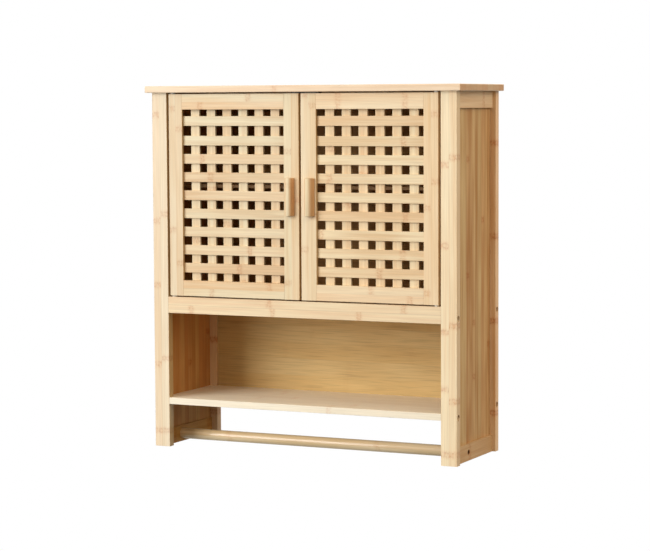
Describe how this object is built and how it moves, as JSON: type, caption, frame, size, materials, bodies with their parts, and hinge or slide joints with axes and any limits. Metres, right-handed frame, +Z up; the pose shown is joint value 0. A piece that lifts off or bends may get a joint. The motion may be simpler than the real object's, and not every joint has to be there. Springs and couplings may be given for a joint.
{
  "type": "bathroom wall cabinet",
  "caption": "Wall-hung bamboo bathroom cabinet with lattice doors on pivot pins, an inner shelf, an open shelf below and a round towel bar.",
  "frame": {"origin": "midway between the two wall screw holes, on the wall plane, which is the rear face of the hanging rail", "axes": "+X to the viewer's right, +Y into the wall so that the doors face -Y, +Z up"},
  "size_m": [0.62, 0.213, 0.662],
  "materials": {
    "case_bamboo": "clear satin lacquer on pale laminated bamboo",
    "top_bamboo": "clear satin lacquer on pale laminated bamboo, grain along X",
    "panel_bamboo": "clear satin lacquer on darker bamboo sheet",
    "door_bamboo": "clear satin lacquer on pale laminated bamboo",
    "lattice_bamboo": "clear satin lacquer on single bamboo strips",
    "bar_bamboo": "clear satin lacquer on turned bamboo",
    "handle_bamboo": "clear satin lacquer on bamboo, its flanks redder",
    "dowel_beech": "bare turned beech",
    "zinc_steel": "bright zinc plate",
    "black_steel": "black phosphate",
    "nylon": "moulded nylon",
    "catch_plastic": "moulded brown plastic",
    "magnet": "bare ferrite magnet"
  },
  "bodies": {
    "cabinet": {"top_board": "top_bamboo", "front_post_left": "case_bamboo", "front_post_right": "case_bamboo", "rear_post_left": "case_bamboo", "rear_post_right": "case_bamboo", "side_top_rail_left": "case_bamboo", "side_top_rail_right": "case_bamboo", "side_bottom_rail_left": "case_bamboo", "side_bottom_rail_right": "case_bamboo", "side_panel_left": "panel_bamboo", "side_panel_right": "panel_bamboo", "front_rail": "case_bamboo", "rear_rail": "case_bamboo", "hanging_rail": "case_bamboo", "floor_board": "case_bamboo", "lower_shelf": "case_bamboo", "inner_shelf": "case_bamboo", "shelf_cleat_left": "case_bamboo", "shelf_cleat_right": "case_bamboo", "back_panel_upper": "panel_bamboo", "back_panel_lower": "panel_bamboo", "towel_bar": "bar_bamboo", "towel_bar_screws": "black_steel", "case_screws": "black_steel", "rail_dowels": "dowel_beech", "cleat_dowels": "dowel_beech", "top_dowels": "dowel_beech", "pivot_pins": "zinc_steel", "catch_body": "catch_plastic", "catch_magnets": "magnet", "catch_screws": "zinc_steel"},
    "door_left": {"hinge_stile_left": "door_bamboo", "meeting_stile_left": "door_bamboo", "door_top_rail_left": "door_bamboo", "door_bottom_rail_left": "door_bamboo", "cross_strips_left": "lattice_bamboo", "upright_strips_left": "lattice_bamboo", "handle_left": "handle_bamboo", "handle_screws_left": "zinc_steel", "strike_plate_left": "zinc_steel", "strike_screw_left": "zinc_steel", "pivot_bushes_left": "nylon"},
    "door_right": {"hinge_stile_right": "door_bamboo", "meeting_stile_right": "door_bamboo", "door_top_rail_right": "door_bamboo", "door_bottom_rail_right": "door_bamboo", "cross_strips_right": "lattice_bamboo", "upright_strips_right": "lattice_bamboo", "handle_right": "handle_bamboo", "handle_screws_right": "zinc_steel", "strike_plate_right": "zinc_steel", "strike_screw_right": "zinc_steel", "pivot_bushes_right": "nylon"}
  },
  "joints": [
    {"name": "door_left_hinge", "type": "hinge", "parent": "cabinet", "child": "door_left", "pos_m": [-0.26, -0.1925, -0.17125], "axis": [0, 0, -1], "range_deg": [0, 105]},
    {"name": "door_right_hinge", "type": "hinge", "parent": "cabinet", "child": "door_right", "pos_m": [0.26, -0.1925, -0.17125], "axis": [0, 0, 1], "range_deg": [0, 105]}
  ]
}
